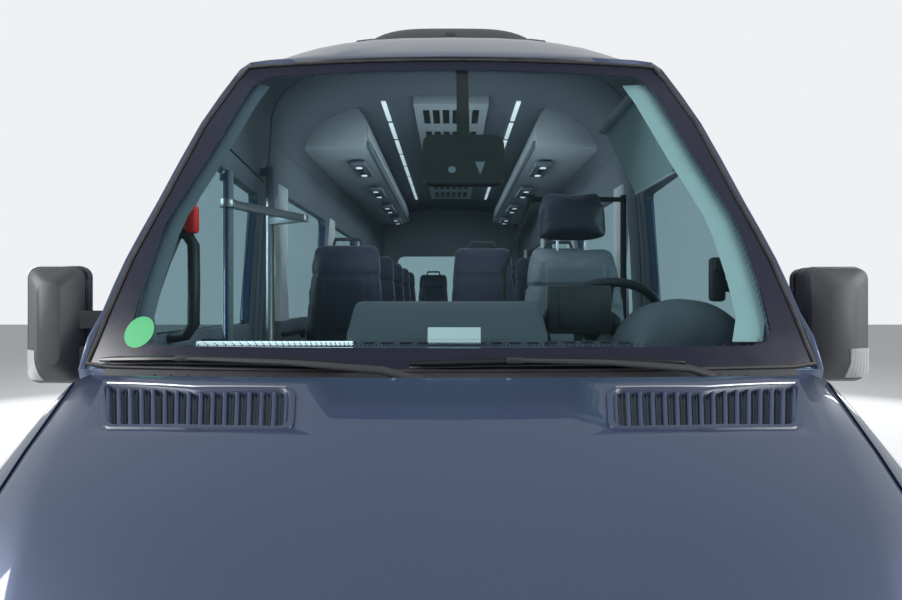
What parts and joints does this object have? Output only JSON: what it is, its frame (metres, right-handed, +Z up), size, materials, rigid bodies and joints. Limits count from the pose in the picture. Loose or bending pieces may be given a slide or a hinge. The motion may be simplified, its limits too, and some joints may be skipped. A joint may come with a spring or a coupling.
{
  "type": "passenger minibus",
  "caption": "Front-engined passenger minibus with a raised roof, a swinging power entry door, seat rows, luggage racks and a roof cooling unit.",
  "frame": {"origin": "on the ground under the middle of the bus's box", "axes": "+X to the vehicle's left, the driver's side, +Y to the rear, +Z up; the front faces -Y"},
  "size_m": [2.426, 6.945, 2.94],
  "materials": {
    "chassis": "satin black",
    "floor": "matt grey",
    "cast": "cast",
    "black_steel": "satin black",
    "steel": "brushed",
    "tyre": "matt rubber",
    "rim": "painted silver",
    "paint": "metallic blue-grey gloss",
    "dark_plastic": "grained",
    "lamp": "clear moulded lens",
    "screen_glass": "green tint",
    "dark_glass": "dark tint",
    "rubber": "matt",
    "trim": "light grey grained",
    "dash_plastic": "soft grained",
    "seat_grey": "grained",
    "seat_blue": "dark blue grained",
    "rail": "yellow powder coat"
  },
  "bodies": {
    "body": {"underframe": "chassis", "floor_pan": "floor", "powertrain_block": "cast", "fuel_tank": "black_steel", "exhaust": "steel", "front_axle": "chassis", "rear_axle": "chassis", "leaf_springs": "chassis", "side_wall_left": "paint", "side_wall_right": "paint", "roof_shell": "paint", "cab_frame": "paint", "rear_wall": "paint", "fenders": "paint", "front_bumper": "dark_plastic", "rear_bumper": "dark_plastic", "grille": "dark_plastic", "lamps": "lamp", "windscreen": "screen_glass", "body_windows": "dark_glass", "wipers": "rubber", "roof_ac_unit": "dark_plastic", "luggage_racks": "trim", "dashboard": "dash_plastic", "driver_seat": "seat_grey", "seat_frames": "steel", "passenger_seats": "seat_blue", "handrails": "rail", "mirror_right": "dark_plastic"},
    "left_knuckle": {"knuckle_left": "cast"},
    "right_knuckle": {"knuckle_right": "cast"},
    "left_front_wheel": {"tyre_front_left": "tyre", "rim_front_left": "rim"},
    "right_front_wheel": {"tyre_front_right": "tyre", "rim_front_right": "rim"},
    "left_twin_wheels": {"tyres_rear_left": "tyre", "rims_rear_left": "rim"},
    "right_twin_wheels": {"tyres_rear_right": "tyre", "rims_rear_right": "rim"},
    "hand_wheel": {"steering_wheel": "dash_plastic"},
    "door_arms": {"door_column": "steel"},
    "door_leaf": {"entry_door": "paint", "entry_door_glass": "dark_glass"},
    "front_door": {"driver_door": "paint", "driver_door_glass": "dark_glass", "mirror_left": "dark_plastic"},
    "hood_lid": {"hood": "paint", "hood_vents": "dark_plastic"},
    "rear_flap": {"luggage_flap": "paint"}
  },
  "joints": [
    {"name": "steer_left", "type": "hinge", "parent": "body", "child": "left_knuckle", "pos_m": [0.76, -2.4685, 0.357], "axis": [0, 0, 1], "range_deg": [-35, 35]},
    {"name": "steer_right", "type": "hinge", "parent": "body", "child": "right_knuckle", "pos_m": [-0.76, -2.4685, 0.357], "axis": [0, 0, 1], "range_deg": [-35, 35]},
    {"name": "front_left_spin", "type": "hinge", "parent": "left_knuckle", "child": "left_front_wheel", "pos_m": [0.855, -2.4685, 0.357], "axis": [1, 0, 0], "continuous": true},
    {"name": "front_right_spin", "type": "hinge", "parent": "right_knuckle", "child": "right_front_wheel", "pos_m": [-0.855, -2.4685, 0.357], "axis": [1, 0, 0], "continuous": true},
    {"name": "rear_left_spin", "type": "hinge", "parent": "body", "child": "left_twin_wheels", "pos_m": [0.742, 1.8565, 0.357], "axis": [1, 0, 0], "continuous": true},
    {"name": "rear_right_spin", "type": "hinge", "parent": "body", "child": "right_twin_wheels", "pos_m": [-0.742, 1.8565, 0.357], "axis": [1, 0, 0], "continuous": true},
    {"name": "hand_wheel_turn", "type": "hinge", "parent": "body", "child": "hand_wheel", "pos_m": [0.53, -1.86, 1.42], "axis": [0, 0.7431, 0.6691], "range_deg": [-500, 500]},
    {"name": "entry_door_swing", "type": "hinge", "parent": "body", "child": "door_arms", "pos_m": [-0.845, -1.235, 1.4], "axis": [0, 0, -1], "range_deg": [0, 150]},
    {"name": "entry_leaf_turn", "type": "hinge", "parent": "door_arms", "child": "door_leaf", "pos_m": [-0.845, -1.715, 1.4], "axis": [0, 0, -1], "range_deg": [-150, 0]},
    {"name": "driver_door_swing", "type": "hinge", "parent": "body", "child": "front_door", "pos_m": [0.99, -2.186, 1.1], "axis": [0, 0, -1], "range_deg": [0, 65]},
    {"name": "hood_lift", "type": "hinge", "parent": "body", "child": "hood_lid", "pos_m": [0, -2.475, 1.3], "axis": [-1, 0, 0], "range_deg": [0, 50]},
    {"name": "luggage_flap_lift", "type": "hinge", "parent": "body", "child": "rear_flap", "pos_m": [0, 3.452, 1.296], "axis": [1, 0, 0], "range_deg": [0, 85]}
  ],
  "couplings": [
    {"joint": "steer_right", "follows": "steer_left", "ratio": 1},
    {"joint": "hand_wheel_turn", "follows": "steer_left", "ratio": 14},
    {"joint": "entry_leaf_turn", "follows": "entry_door_swing", "ratio": -1}
  ]
}
